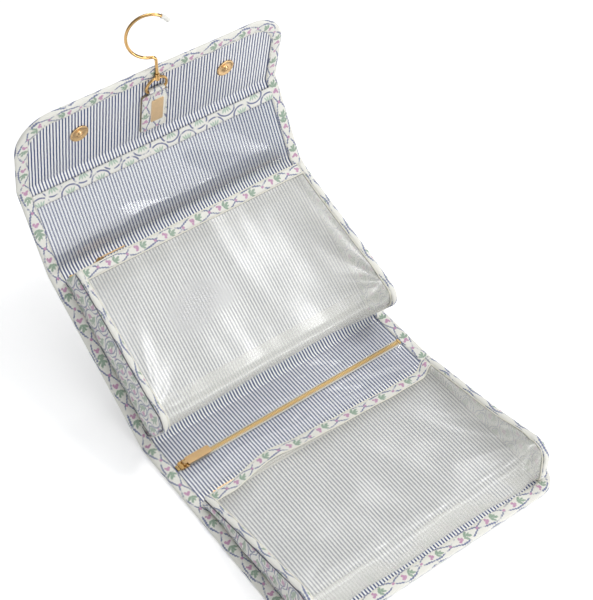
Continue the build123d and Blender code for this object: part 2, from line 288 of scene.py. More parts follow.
# The print, in millimetres: ogee cells, and one sprig as leaves (centre, radii, angle)
# and petals (centre, radius).
IVORY = (0.87, 0.86, 0.80)
CELL_WIDTH = 10.0
CELL_HEIGHT = 27.0
CELL_SWING = 3.75
CELL_OVAL = (8.75, 13)
RING_OVAL = (5.4, 7.6)
BUD = (1.0, 1.2)
WEAVE_PITCH = 0.55
LEAF_SOFT = 0.35
PETAL_SOFT = 0.4


def ellipse(x, y, centre, radii, angle):
    """Squared distance from an ellipse's centre, 1 on its edge."""
    dx = x - centre[0]
    dy = y - centre[1]
    c, s = math.cos(math.radians(angle)), math.sin(math.radians(angle))
    along = (dx * c + dy * s) / radii[0]
    across = (dy * c - dx * s) / radii[1]
    return along * along + across * across


LEAVES = [
    ((-2.6, 3.4), (2.6, 1.15), 60),
    ((-0.4, 4.6), (2.5, 1.05), 100),
    ((-4.1, 0.6), (2.3, 1.0), 15),
    ((-1.6, 0.9), (2.6, 1.15), 75),
    ((0.6, 1.9), (2.3, 0.95), 130),
    ((-3.1, -2.4), (2.2, 1.0), 40),
    ((-0.9, -2.8), (2.3, 1.0), 95),
]
PETALS = [((2.9, -0.8), 1.75), ((2.0, -2.9), 1.5), ((3.9, -2.7), 1.3), ((1.6, 0.6), 1.0)]

# The same print where only a narrow strip of it shows.
EDGE_MIDDLE = 6.0        # the middle of an edge strip's face, across it
EDGE_REACH = 6.5         # half the width after which the strip's pattern repeats
EDGE_PERIOD = 30.0
EDGE_BUD = (1.2, 1.5)
EDGE_LEAF = (1.1, 2.5)
EDGE_LEAVES = [
    ((-0.5, 3.6), EDGE_LEAF, 15),
    ((1.3, 4.6), EDGE_LEAF, -20),
    ((-2.2, 2.2), EDGE_LEAF, 50),
    ((2.4, 1.6), EDGE_LEAF, -50),
    ((0.3, 1.0), EDGE_LEAF, 85),
]
EDGE_PETALS = [((0.6, -3.6), 1.8), ((-1.4, -4.6), 1.3), ((1.9, -5.3), 1.2)]

STRIPE_PITCH = 3.0
STRIPE_HALF = STRIPE_PITCH * 0.225


def union(marks):
    """One mark that covers what any of the marks covers."""
    result = marks[0]
    for mark in marks[1:]:
        result = result.most(mark)
    return result


def sprig(x, y, leaves, petals, rough_edge):
    """The leaves and the petals of a sprig about the origin."""
    return (
        union([(ellipse(x, y, *leaf) + rough_edge).below(1, LEAF_SOFT) for leaf in leaves]),
        union([(ellipse(x, y, c, (r, r), 0) + rough_edge).below(1, PETAL_SOFT) for c, r in petals]),
    )


def weave_relief(paint, x, y, pitch, strength=0.25):
    """Fine woven relief: threads across and along."""
    threads = (x * (TAU / pitch)).sin() * (y * (TAU / pitch)).sin()
    paint.relief(threads, strength, 0.00015)


def print_cloth(name, shift_x):
    """The printed cloth: an ogee lattice of dotted navy lines, with sprigs in its cells."""
    paint = Paint(name, Roughness=0.5, Specular_IOR_Level=0.35)
    x, y = paint.cloth_place()
    wobble = paint.wobble(260, 1.5)
    x = x + shift_x + wobble
    y = y + wobble
    turn_y = y * (TAU / CELL_HEIGHT) + TAU / 4
    swing = (turn_y.sin() * 1.1 + (turn_y * 3).sin() * 0.13) * CELL_SWING
    first = (x - swing).wrap(CELL_WIDTH).abs()
    second = (x - CELL_WIDTH + swing).wrap(CELL_WIDTH).abs()
    dots = (y * (TAU / 2.3)).sin() * 0.22
    lattice = (first.least(second) + dots).below(0.62, 0.22)

    near_x = (x - CELL_WIDTH / 2).wrap(CELL_WIDTH)
    near_y = (y - CELL_HEIGHT / 2).wrap(CELL_HEIGHT / 2)
    far_x = (x - CELL_WIDTH * 1.5).wrap(CELL_WIDTH)
    far_y = y.wrap(CELL_HEIGHT / 2)
    near = ellipse(near_x, near_y, (0, 0), CELL_OVAL, 0)
    far = ellipse(far_x, far_y, (0, 0), CELL_OVAL, 0)
    pick = (near - far).below(0, 0.001)
    other = pick * -1 + 1
    cell_x = near_x * pick + far_x * other * -1
    cell_y = near_y * pick + far_y * other

    leaves, petals = sprig(cell_x, cell_y, LEAVES, PETALS, paint.wobble(900, 1.5))
    bud = ellipse(near_x, far_y, (0, 0), BUD, 0)
    bud = bud.least(ellipse(far_x, near_y, (0, 0), BUD, 0)).below(1, PETAL_SOFT)
    oval = (ellipse(cell_x, cell_y, (0, 0), RING_OVAL, 0).root() - 1).abs()
    ring = (oval * 6 + dots).below(0.55, 0.2) * other

    ground = paint.mix(paint.noise(60, on_cloth=True), IVORY, (0.83, 0.82, 0.77))
    colour = paint.layer(ground, lattice.most(ring) * 0.8, 500, (0.05, 0.08, 0.24), (0.24, 0.28, 0.44))
    colour = paint.layer(colour, leaves * 0.72, 700, (0.17, 0.28, 0.20), (0.42, 0.55, 0.43))
    colour = paint.layer(colour, petals.most(bud) * 0.78, 800, (0.40, 0.13, 0.32), (0.78, 0.50, 0.66))
    paint.colour(colour)
    weave_relief(paint, x, y, WEAVE_PITCH)
    return paint.material


def edge_cloth(name):
    """Narrow strips of the print: a sprig in each cell of a broken chain of navy ovals."""
    paint = Paint(name, Roughness=0.5, Specular_IOR_Level=0.35)
    x, y = paint.cloth_place()
    wobble = paint.wobble(260, 1.2)
    across = (x + wobble + paint.wobble(24, 9.0) - EDGE_MIDDLE).wrap(EDGE_REACH)
    along = (y + wobble).wrap(EDGE_PERIOD / 2)
    half_turn = (y + paint.wobble(30, 16)) * (TAU / EDGE_PERIOD / 2)
    swing = half_turn.math("COSINE").abs() * 4.4 + 0.9
    dots = (y * (TAU / 2.4)).sin() * 0.25
    unbroken = paint.noise(110, on_cloth=True).below(0.56, 0.05)
    chain = ((across.abs() - swing).abs() + dots).below(0.7, 0.25) * unbroken
    leaves, petals = sprig(across, along, EDGE_LEAVES, EDGE_PETALS, paint.wobble(750, 2.6))
    knot = (y - EDGE_PERIOD / 2).wrap(EDGE_PERIOD / 2)
    bud = ellipse(across, knot, (0, 0), EDGE_BUD, 0).below(1, PETAL_SOFT)
    ground = paint.mix(paint.noise(60, on_cloth=True), IVORY, (0.76, 0.75, 0.69))
    colour = paint.layer(ground, chain * 0.9, 500, (0.03, 0.05, 0.19), (0.20, 0.24, 0.40))
    colour = paint.layer(colour, leaves * 0.9, 700, (0.12, 0.22, 0.15), (0.38, 0.51, 0.39))
    colour = paint.layer(colour, petals.most(bud) * 0.9, 800, (0.33, 0.09, 0.26), (0.72, 0.43, 0.60))
    paint.colour(colour)
    weave_relief(paint, x, y, WEAVE_PITCH)
    return paint.material


def trim_cloth(name, width):
    """The strip cut across the print: scallops from each edge by turns, with green tufts."""
    paint = Paint(name, Roughness=0.5, Specular_IOR_Level=0.35)
    x, y = paint.cloth_place()
    wobble = paint.wobble(260, 1.0)
    up_x = x.wrap(EDGE_PERIOD / 2)
    down_x = (x - EDGE_PERIOD / 2).wrap(EDGE_PERIOD / 2)
    scallops, tufts = [], []
    for place, foot, sign in ((up_x, 0.0, 1), (down_x, width, -1)):
        arc = ellipse(place + wobble, y, (0, foot), (9.0, 7.2), 0).root()
        scallops.append(((arc - 1).abs() * 7).below(0.6, 0.25))
        for lean in (-2.4, -0.8, 0.9, 2.5):
            angle = 90 - sign * lean * 14
            leaf = ellipse(place, y, (lean * 1.3, foot + sign * 2.0), (2.4, 0.8), angle)
            tufts.append(leaf.below(1, 0.5))
    ground = paint.mix(paint.noise(60, on_cloth=True), IVORY, (0.80, 0.79, 0.74))
    unbroken = paint.noise(130, on_cloth=True).below(0.57, 0.05)
    colour = paint.mix(union(scallops) * unbroken * 0.9, ground, (0.06, 0.085, 0.24))
    colour = paint.mix(union(tufts) * 0.7, colour, (0.28, 0.46, 0.34))
    paint.colour(colour)
    weave_relief(paint, x, y, WEAVE_PITCH)
    return paint.material


def striped_lining(name):
    """Narrow navy stripes on white, running along the bag."""
    paint = Paint(name, Roughness=0.4, Specular_IOR_Level=0.4, Coat_Weight=0.5, Coat_Roughness=0.16)
    x, y = paint.cloth_place()
    stripe = (x + paint.wobble(120, 0.5)).wrap(STRIPE_PITCH / 2).abs().below(STRIPE_HALF, 0.10)
    ink = paint.mix(paint.noise(300, on_cloth=True), (0.010, 0.024, 0.12), (0.045, 0.07, 0.215))
    paint.colour(paint.mix(stripe, (0.93, 0.935, 0.925), ink))
    weave_relief(paint, x, y, 0.5)
    return paint.material


def vinyl(name, alpha, tint, ripple, roughness, shine):
    """Clear sheet with a little haze: alpha is the haze of one of its two faces."""
    paint = Paint(
        name,
        Base_Color=(*tint, 1),
        Roughness=roughness,
        Alpha=alpha,
        Specular_IOR_Level=0.6,
        Coat_Weight=shine,
        Coat_IOR=1.5 + 0.5 * shine,
        Coat_Roughness=roughness * 0.7,
    )
    swell = paint.noise(14, 1.0) + paint.noise(40, 1.0) * 0.12
    paint.relief(swell, ripple, 0.004)
    return paint.material


def metal(name, colour, roughness, grain=0.04):
    paint = Paint(name, Metallic=1.0, Base_Color=(*colour, 1))
    paint.roughness(paint.noise(900, 3.0) * grain + roughness)
    darker = tuple(c * 0.86 for c in colour)
    paint.colour(paint.mix(paint.noise(220, 2.0), colour, darker))
    return paint.material


def plain_cloth(name, colour, pitch=0.6):
    paint = Paint(name, Roughness=0.7, Specular_IOR_Level=0.25)
    x, y = paint.cloth_place()
    darker = tuple(c * 0.88 for c in colour)
    rib = (y * (TAU / pitch) + (x * (TAU / (2 * pitch))).sin() * 2).sin() * 0.5 + 0.5
    paint.colour(paint.mix(rib * 0.5 + paint.noise(400, 2.0) * 0.5, darker, colour))
    weave_relief(paint, x, y, pitch, 0.4)
    return paint.material


def soft_rubber(name, colour):
    paint = Paint(name, Roughness=0.45)
    paint.colour(paint.mix(paint.noise(300, 2.0), colour, tuple(c * 0.93 for c in colour)))
    return paint.material


PRINT = print_cloth("print_cloth", 5.0)
PRINT_EDGE = edge_cloth("print_cloth_edge")
TRIM_WIDTH = 11.0
TRIM = trim_cloth("trim_cloth", TRIM_WIDTH)
STRIPES = striped_lining("striped_lining")
VINYL_POUCH = vinyl("clear_vinyl_pouch", 0.355, (0.67, 0.67, 0.625), 0.3, 0.24, 0.15)
VINYL_FLAT = vinyl("clear_vinyl_flat", 0.15, (0.40, 0.43, 0.50), 0.35, 0.10, 1.0)
GOLD = metal("gold_metal", (0.76, 0.47, 0.19), 0.07)
GOLD_PLATE = metal("gold_plate", (0.95, 0.70, 0.43), 0.42)
GOLD_SATIN = metal("gold_satin", (0.80, 0.54, 0.28), 0.28)
GOLD_DULL = metal("gold_dull", (0.62, 0.43, 0.19), 0.34, 0.1)
SEAM = soft_rubber("dark_seam", (0.10, 0.10, 0.14))
CREAM = soft_rubber("cream_edge", (0.80, 0.78, 0.68))
TAPE = plain_cloth("zip_tape_cloth", (0.86, 0.84, 0.76))
THREAD = plain_cloth("thread", (0.80, 0.77, 0.66), 0.2)
EDGE_PAINT = soft_rubber("tab_edge_paint", (0.30, 0.24, 0.16))
CAP = soft_rubber("white_cap", (0.85, 0.84, 0.79))


# --------------------
# Mesh helpers.
# --------------------
def mesh_object(name, points, faces, uvs, material, smooth_faces=True):
    """A mesh from points and faces, with one cloth coordinate to each point of each face."""
    mesh = bpy.data.meshes.new(name)
    mesh.from_pydata([tuple(p) for p in points], [], faces)
    layer = mesh.uv_layers.new(name="cloth")
    for polygon, corners in zip(mesh.polygons, uvs):
        polygon.use_smooth = smooth_faces
        for loop, uv in zip(polygon.loop_indices, corners):
            layer.data[loop].uv = uv
    mesh.materials.append(material)
    piece = bpy.data.objects.new(name, mesh)
    bpy.context.scene.collection.objects.link(piece)
    return piece


def grid(name, rows, uv_rows, material, closed=False, capped=False):
    """A sheet through rows of points; closed joins each row's last point to its first."""
    wide = len(rows[0])
    points = [p for row in rows for p in row]
    faces, uvs = [], []
    across = wide if closed else wide - 1
    for i in range(len(rows) - 1):
        for j in range(across):
            k = (j + 1) % wide
            faces.append((i * wide + j, i * wide + k, (i + 1) * wide + k, (i + 1) * wide + j))
            uvs.append((uv_rows[i][j], uv_rows[i][j + 1], uv_rows[i + 1][j + 1], uv_rows[i + 1][j]))
    if capped:
        last = (len(rows) - 1) * wide
        faces.append(tuple(reversed(range(wide))))
        uvs.append(tuple(reversed(uv_rows[0][:wide])))
        faces.append(tuple(range(last, last + wide)))
        uvs.append(tuple(uv_rows[-1][:wide]))
    return mesh_object(name, points, faces, uvs, material)


def steps(low, high, count):
    return [low + (high - low) * i / count for i in range(count + 1)]


def surface(name, downs, acrosses, spot, material):
    """A grid through spot(down, across), which gives a point and its place on the cloth."""
    rows = [[spot(down, across) for across in acrosses] for down in downs]
    points = [[point for point, _ in row] for row in rows]
    return grid(name, points, [[place for _, place in row] for row in rows], material)


def sheet(name, v_range, n, material, rows, facing):
    """A layer of the bag at a height over its inner face; facing is 1 in, -1 out."""

    def spot(v, t):
        x = t * half_width(v, LAYER_INSET) * facing
        return at(x, v, n + wave(x, v)), (x, v)

    return surface(name, steps(*v_range, rows), steps(-1, 1, SHEET_COLUMNS), spot, material)


def keep(piece, body, slot_name, *nodes):
    """Makes a piece ride on a body, in place of any nodes; the slot name is not used."""
    for node in nodes:
        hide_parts(node)
    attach(piece, body)


def solidify(piece, thickness):
    """Gives a sheet its thickness, half to each side."""
    modifier = piece.modifiers.new("thickness", "SOLIDIFY")
    modifier.thickness = thickness
    modifier.offset = 0
    with bpy.context.temp_override(object=piece, active_object=piece):
        bpy.ops.object.modifier_apply(modifier=modifier.name)
    return piece


def tube(name, path, radius, material, sides=10, flat=1.0, side=None):
    """A round cord of cloth along a path, or one flattened square to its side direction."""
    rows, uvs = [], []
    run = 0
    for i, point in enumerate(path):
        before, after = path[max(0, i - 1)], path[min(len(path) - 1, i + 1)]
        ahead = (after - before).normalized()
        if side is None:
            side = ahead.orthogonal().normalized()
        side = (side - ahead * side.dot(ahead)).normalized()
        up = ahead.cross(side)
        run += (point - path[i - 1]).length if i else 0
        rows.append([])
        uvs.append([])
        for k in range(sides):
            a = TAU * k / sides
            rows[-1].append(point + side * math.cos(a) * radius + up * math.sin(a) * radius * flat)
        for k in range(sides + 1):
            uvs[-1].append((TAU * radius * k / sides, run))
    return grid(name, rows, uvs, material, closed=True, capped=True)


# One stitch: rings along it as (place along, height, share of its full width).
STITCH_RINGS = [(-0.5, -0.4, 0.0), (-0.25, 0.8, 1.0), (0.25, 0.8, 1.0), (0.5, -0.4, 0.0)]


def stitches(name, places, length, radius):
    """Short raised stitches, each a point and the direction it runs in, with its outward side."""
    points, faces, uvs = [], [], []
    for centre, ahead, out in places:
        side = ahead.cross(out).normalized()
        first = len(points)
        for along, high, wide in STITCH_RINGS:
            middle = centre + ahead * along * length + out * high * radius
            points += [middle + side * radius * wide, middle - side * radius * wide]
            points.append(centre + ahead * along * length + out * (high + wide * 0.7) * radius)
        for ring in range(3):
            a, b = first + 3 * ring, first + 3 * ring + 3
            for p, q in ((0, 2), (2, 1)):
                faces.append((a + p, b + p, b + q, a + q))
                uvs.append(((0, 0), (length, 0), (length, radius), (0, radius)))
    return mesh_object(name, points, faces, uvs, THREAD)


def rounded_path(corners, radii, arc_steps=10):
    """Points of a polyline with rounded corners."""
    result = [Vector(corners[0])]
    for i in range(1, len(corners) - 1):
        corner = Vector(corners[i])
        before = (Vector(corners[i - 1]) - corner).normalized()
        after = (Vector(corners[i + 1]) - corner).normalized()
        angle = before.angle(after)
        reach = radii[i - 1] / math.tan(angle / 2)
        centre = corner + (before + after).normalized() * (radii[i - 1] / math.sin(angle / 2))
        first, last = corner + before * reach - centre, corner + after * reach - centre
        turn = first.angle_signed(last)
        for t in steps(0, 1, arc_steps):
            c, s = math.cos(-turn * t), math.sin(-turn * t)
            result.append(centre + Vector((first.x * c - first.y * s, first.x * s + first.y * c)))
    result.append(Vector(corners[-1]))
    return result


def resample(path, spacing):
    """The same path with evenly spaced points."""
    lengths = [0]
    for a, b in zip(path, path[1:]):
        lengths.append(lengths[-1] + (b - a).length)
    count = max(2, round(lengths[-1] / spacing))
    result, i = [], 0
    for target in steps(0, lengths[-1], count):
        while i < len(path) - 2 and lengths[i + 1] < target:
            i += 1
        span = lengths[i + 1] - lengths[i] or 1
        result.append(path[i].lerp(path[i + 1], (target - lengths[i]) / span))
    return result


# --------------------
# Panels: lining, outer cloth and edge binding, in four spans that each cross one fold.
# --------------------
END_INSET = 1.5 * MM      # the layers stop this far inside the bag's two ends
LAYER_ROW = 2.0 * MM
SPANS = [
    (0, MIDDLE["spine"], "front", "spine"),
    (MIDDLE["spine"], MIDDLE["back"], "spine", "back"),
    (MIDDLE["back"], MIDDLE["top"], "back", "top"),
    (MIDDLE["top"], LENGTH, "top", "flap"),
]


def bend(piece, first, second):
    """Bakes a piece's place into its mesh; the fold between the two sections is passed on but not used."""
    fold = START[second]
    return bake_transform(piece, first, second, at(0, fold - FOLD), at(0, fold + FOLD))


def edge_path(low, high):
    """Binding line of a span: runs of evenly spaced places (x, v) along its edge."""
    runs = []
    if low == 0:
        corners = [(-HALF, high), (-HALF, 0), (HALF, 0), (HALF, high)]
        runs.append(rounded_path(corners, [FRONT_CORNER] * 2))
    elif high == LENGTH:
        corners = [(HALF, low), (HALF, LENGTH), (-HALF, LENGTH), (-HALF, low)]
        runs.append(rounded_path(corners, [FLAP_CORNER] * 2, 16))
    else:
        runs.append([Vector((-HALF, high)), Vector((-HALF, low))])
        runs.append([Vector((HALF, low)), Vector((HALF, high))])
    return [resample(run, 2 * MM) for run in runs]


# Section of the binding: distance in from the edge, and height over the inner face.
TOP_POINTS = 7            # of the section, these first ones lie on its upper face
BINDING_SECTION = [
    (11.5, 0.1), (11.4, 0.7), (10.4, 0.85), (9.6, 1.05), (6.5, 1.3), (3.5, 1.25), (1.4, 0.9),
    (0.2, 0.1), (-0.2, -1.2), (0.3, -2.4), (1.5, -2.85), (6.0, -2.95), (11.3, -2.95), (11.5, -2.5),
]


STITCH_LINE = 10.1 * MM   # the seam's distance in from the edge


def binding(name, run, first, second):
    """The folded strip round a span's edge, puckered along its seam, and its stitches."""
    rows, uvs, marks = [], [], []
    along = 0
    for i, place in enumerate(run):
        before, after = run[max(0, i - 1)], run[min(len(run) - 1, i + 1)]
        ahead = (after - before).normalized()
        inward = Vector((-ahead.y, ahead.x))
        along += (place - run[i - 1]).length if i else 0
        pucker = 0.14 * MM * math.sin(along * 900) + 0.2 * MM * math.sin(along * 210 + 1)
        rows.append([])
        uvs.append([])
        around = 0
        for k, (depth, high) in enumerate(BINDING_SECTION):
            spot = place + inward * depth * MM
            lift = pucker if 0 < k < TOP_POINTS else 0
            rows[-1].append(at(spot.x, spot.y, high * MM + lift + wave(spot.x, spot.y)))
            if k:
                last = BINDING_SECTION[k - 1]
                around += math.hypot(depth - last[0], high - last[1])
            uvs[-1].append((around * MM, along))
        if i % 2 == 0 and 0 < i < len(run) - 1:
            spot = place + inward * STITCH_LINE
            step = spot + ahead * MM
            base = wave(spot.x, spot.y)
            here = at(spot.x, spot.y, 1.0 * MM + pucker + base)
            there = at(step.x, step.y, 1.0 * MM + pucker + base)
            out = at(spot.x, spot.y, 2 * MM + base) - at(spot.x, spot.y, base)
            marks.append((here, (there - here).normalized(), out.normalized()))
    piece = grid(name, rows, uvs, PRINT_EDGE)
    bend(piece, first, second)
    thread = stitches(name + "_stitches", marks, 2.4 * MM, 0.22 * MM)
    bend(thread, first, second)
    return piece


for number, (low, high, first, second) in enumerate(SPANS, 1):
    ends = (END_INSET if low == 0 else low, LENGTH - END_INSET if high == LENGTH else high)
    count = round((ends[1] - ends[0]) / LAYER_ROW)
    inside = sheet(f"lining_{number}", ends, LINING_AT, STRIPES, count, 1)
    outside = sheet(f"outer_cloth_{number}", ends, OUTER_AT, PRINT, count, -1)
    for piece, slot_name, layers in (
        (inside, "stripe_lining", ("lining",)),
        (outside, "print_cloth", ("shell", "board")),
    ):
        bend(piece, first, second)
        2 * half_width((low + high) / 2, LAYER_INSET)
        ends[1] - ends[0]
        for layer in layers:
            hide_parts(f"{second}_{layer}")
            if number == 1:
                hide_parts(f"{first}_{layer}")
    for side, run in enumerate(edge_path(low, high), 1):
        piece = binding(f"binding_{number}_{side}", run, first, second)
        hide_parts(f"{second}_binding")
        if number == 1:
            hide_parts(f"{first}_binding")


# --------------------
# Box pouches.
# --------------------
POUCH_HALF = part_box("upper_gusset_right")[1].x
ROW = 2.5 * MM            # spacing of a pouch's rows along its profile
BAND = 11 * MM
BOTTOM_FLAP = 24 * MM     # the vinyl turns under the deep end by this length
BOTTOM_LIFT = 0.3 * MM
PROFILE_RADII = [8 * MM, 13 * MM]
PIPING_RADIUS = 2.9 * MM
WELT_RADIUS = 0.65 * MM
POUCH_COLUMNS = 110


class Pouch:
    """One box pouch on a section: its side profile and the soft shape of its front."""

    def __init__(self, name, body, low_end, high_end, deep, shallow, slump, mouth_inset):
        self.name = name
        self.body = body
        self.index = BODIES.index(body)
        self.start = START[body]
        self.slump = slump
        self.mouth_inset = mouth_inset
        foot = [(low_end + BOTTOM_FLAP, BOTTOM_LIFT), (low_end, BOTTOM_LIFT)]
        corners = foot + [(low_end, deep), (high_end, shallow)]
        self.profile = resample(rounded_path(corners, PROFILE_RADII, 14), ROW)

    def at(self, x, s, n):
        return on_section(self.index, x, self.start + s, n)

    def outward(self, i):
        """Outward and onward directions of the profile at a row."""
        before = self.profile[max(0, i - 1)]
        after = self.profile[min(len(self.profile) - 1, i + 1)]
        ahead = (after - before).normalized()
        return Vector((-ahead.y, ahead.x)), ahead

    def surface(self, x, i, lift=0.0):
        """Point of the front at row i of the profile, soft between its two gussets."""
        out, ahead = self.outward(i)
        t = x / POUCH_HALF
        share = i / (len(self.profile) - 1)
        push, slide = self.slump(t, share)
        x *= 1 - self.mouth_inset / POUCH_HALF * smooth((share - 0.35) / 0.65)
        spot = self.profile[i] + out * (push + lift) + ahead * slide
        return self.at(x, spot.x, spot.y)


def soft_hills(t, share, size, seed):
    """Smooth uneven hills, about -1 to 1."""
    return noise.noise(Vector((t * size, share * size * 0.8, seed))) * 1.6


def corner_folds(t, share, corner, count, reach):
    """Folds that fan out from a corner of the front and die away."""
    dx, dy = corner[0] - t, (share - corner[1]) * 1.1
    far = math.hypot(dx, dy)
    angle = math.atan2(dy, dx)
    uneven = noise.noise(Vector((angle * 2, 0, corner[0])))
    return math.sin(count * (angle + 0.5 * uneven)) * smooth(far / 0.12) * math.exp(-far / reach)


def upper_slump(t, share):
    """The upper front sags in the middle, with folds from its two deep corners."""
    across = 1 - t * t
    sag = -4.0 * across * math.sin(math.pi * share)
    hills = 0.9 * soft_hills(t, share, 2.4, 0.3) + 0.4 * soft_hills(t, share, 6.0, 4.1)
    folds = corner_folds(t, share, (1.0, 0.40), 7, 0.33) * 1.7
    folds += corner_folds(t, share, (-1.0, 0.40), 5, 0.30) * -0.9
    return (sag + hills * min(1, 3 * across) + folds * min(1, 12 * across)) * MM, 0.0


def lower_slump(t, share):
    """The lower mouth leans to the spine left of its middle, and its right end stands up."""
    across = 1 - t ** 4
    mouth = smooth((share - 0.55) / 0.45)
    lean = 9 * bump(t, -0.46, 0.42) + 5 * bump(t, 0.0, 0.8) + 5 * bump(t, 0.97, 0.13)
    step = 6.0 * smooth((t - 0.86) / 0.1) * mouth
    sag = -3.5 * (1 - t * t) * math.sin(math.pi * share) * (1 - 0.5 * mouth)
    hills = 1.6 * soft_hills(t, share, 2.6, 8.3) + 0.6 * soft_hills(t, share, 6.5, 2.1)
    folds = corner_folds(t, share, (1.0, 0.33), 7, 0.40) * 2.4
    folds += corner_folds(t, share, (-1.0, 0.33), 5, 0.26) * -1.0
    push = sag + hills * min(1, 3 * across) + step + folds * min(1, 8 * across)
    return push * MM, lean * mouth * MM


# Lines beside the piping: distance in from the pouch's side, lift, radius and material.
POUCH_SEAMS = [("seam", -2.3, -0.9, 0.45, SEAM), ("vinyl_edge", 3.9, 0.6, 0.7, CREAM)]


def build_pouch(pouch, node):
    """Front, mouth band, gussets, piping and seams of a pouch."""
    inner = POUCH_HALF - 0.8 * MM
    last_row = len(pouch.profile) - 1
    band_row = last_row - round(BAND / ROW)
    columns = steps(-inner, inner, POUCH_COLUMNS)

    def skin(name, first, last, lift, material, thickness):
        rows = [[pouch.surface(x, i, lift) for x in columns] for i in range(first, last + 1)]
        middle = (first + last) / 2 - EDGE_MIDDLE * MM / ROW
        uvs = [[((i - middle) * ROW, x) for x in columns] for i in range(first, last + 1)]
        return solidify(grid(f"{pouch.name}_{name}", rows, uvs, material), thickness)

    front = skin("front", 0, band_row + 1, 0, VINYL_POUCH, 0.5 * MM)
    front.visible_shadow = False
    keep(front, pouch.body, "clear_vinyl", f"{node}_clear_front")
    band = skin("band", band_row, last_row, 0.5 * MM, PRINT_EDGE, 0.9 * MM)
    keep(band, pouch.body, "print_cloth", f"{node}_band")

    # A cream welt runs along both edges of the band.
    for row, name in ((band_row, "band_welt"), (last_row, "mouth_welt")):
        path = [pouch.surface(x, row, 0.8 * MM) for x in columns]
        keep(tube(f"{pouch.name}_{name}", path, WELT_RADIUS, CREAM, 8), pouch.body, "piping")

    for side, name in ((-1, "left"), (1, "right")):
        def gusset_spot(i, t, side=side):
            s, n = pouch.profile[i]
            foot = pouch.at(side * (POUCH_HALF + 0.3 * MM), s, 0.2 * MM)
            swell = math.sin(math.pi * t) * (2.4 + 1.3 * math.sin(i / last_row * 19 + t * 3)) * MM
            rim = pouch.surface(side * POUCH_HALF, i)
            return foot.lerp(rim, t) + ACROSS * side * swell, (s, n * t)

        rows = range(last_row + 1)
        gusset = surface(f"{pouch.name}_gusset_{name}", rows, steps(0, 1, 14), gusset_spot, PRINT)
        keep(gusset, pouch.body, "print_cloth", f"{node}_gusset_{name}")
        path = [pouch.surface(side * (POUCH_HALF - 0.6 * MM), i, 0.7 * MM) for i in range(2, last_row + 1)]
        edge = tube(f"{pouch.name}_piping_{name}", path, PIPING_RADIUS, PRINT_EDGE, 14, 0.5, ACROSS)
        keep(edge, pouch.body, "piping", f"{node}_piping")
        for seam_name, inset, lift, radius, material in POUCH_SEAMS:
            x = side * (POUCH_HALF - inset * MM)
            path = [pouch.surface(x, i, lift * MM) for i in range(3, last_row + 1)]
            seam = tube(f"{pouch.name}_{seam_name}_{name}", path, radius * MM, material, 8)
            keep(seam, pouch.body, "piping")


upper_pouch = Pouch("upper_pouch", "back", 6.5 * MM, 160 * MM, 60.5 * MM, 26 * MM, upper_slump, 5 * MM)
lower_pouch = Pouch("lower_pouch", "front", 11.5 * MM, 158 * MM, 46 * MM, 11 * MM, lower_slump, 1 * MM)
build_pouch(upper_pouch, "upper")
build_pouch(lower_pouch, "lower")


# --------------------
# Flat clear pockets of the spine and the top section.
# --------------------
POCKET_HALF = HALF - BINDING + 1.5 * MM
FLAT_FROM = 4 * MM        # the sheets start this far past a fold
ZIP_GAP = 3 * MM
SPINE_ZIP_AT = START["spine"] + 36 * MM
TRIM_AT = START["top"] + 60.5 * MM


def flat_vinyl(name, node, body, low, high, swell):
    """A clear sheet sewn down round its edges."""

    def spot(t, x):
        v = low + (high - low) * t
        edge = 1 - (x / POCKET_HALF) ** 8
        ripple = 0.35 * math.sin(38 * x + 5 * t) + 0.25 * math.sin(95 * x + 8 * t + 1)
        n = (0.7 + (swell + ripple) * math.sin(math.pi * t) * edge) * MM
        return at(x, v, n + wave(x, v)), (x, v)

    columns = steps(-POCKET_HALF, POCKET_HALF, POUCH_COLUMNS)
    piece = solidify(surface(name, steps(0, 1, 36), columns, spot, VINYL_FLAT), 0.4 * MM)
    piece.visible_shadow = False
    keep(piece, body, "clear_vinyl", node)


def build_trim():
    """The printed strip along the top pocket's mouth."""

    def spot(t, x):
        v = TRIM_AT + TRIM_WIDTH * MM * t
        n = (0.9 + 0.5 * math.sin(math.pi * t) + 0.15 * math.sin(70 * x)) * MM
        return at(x, v, n + wave(x, v)), (x, TRIM_WIDTH * MM * t)

    columns = steps(-POCKET_HALF, POCKET_HALF, 120)
    trim = solidify(surface("top_trim", steps(0, 1, 8), columns, spot, TRIM), 0.7 * MM)
    keep(trim, "top", "print_cloth", "top_pocket_trim")


for name, node, body, low, high, swell in (
    ("spine_vinyl_low", "spine_clear_low", "spine", START["spine"] + FLAT_FROM, SPINE_ZIP_AT - ZIP_GAP, 1.6),
    ("spine_vinyl_high", "spine_clear_high", "spine", SPINE_ZIP_AT + ZIP_GAP, END["spine"] - FLAT_FROM, 1.6),
    ("top_vinyl", "top_pocket_clear", "top", START["top"] + FLAT_FROM, TRIM_AT + 1 * MM, 1.2),
):
    flat_vinyl(name, node, body, low, high, swell)
build_trim()


# --------------------
# Zips: woven tapes and separate metal teeth.
# --------------------
ZIP_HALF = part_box("spine_zip_teeth")[1].x
TOOTH_PITCH = 0.8 * MM
# A tooth's three rings: place across the middle line, half width and height.
TOOTH_RINGS = [(-0.6, 0.42, 0.75), (0.7, 0.55, 1.0), (2.2, 0.42, 0.8)]


class Zip:
    """One zip: the place of its middle line, and its across and outward directions."""

    def __init__(self, name, body, middle, across, out):
        self.name = name
        self.body = body
        self.middle = middle
        self.across = across
        self.out = out

    def at(self, x, across, out):
        return self.middle + Vector((x, 0, 0)) + self.across * across + self.out * out


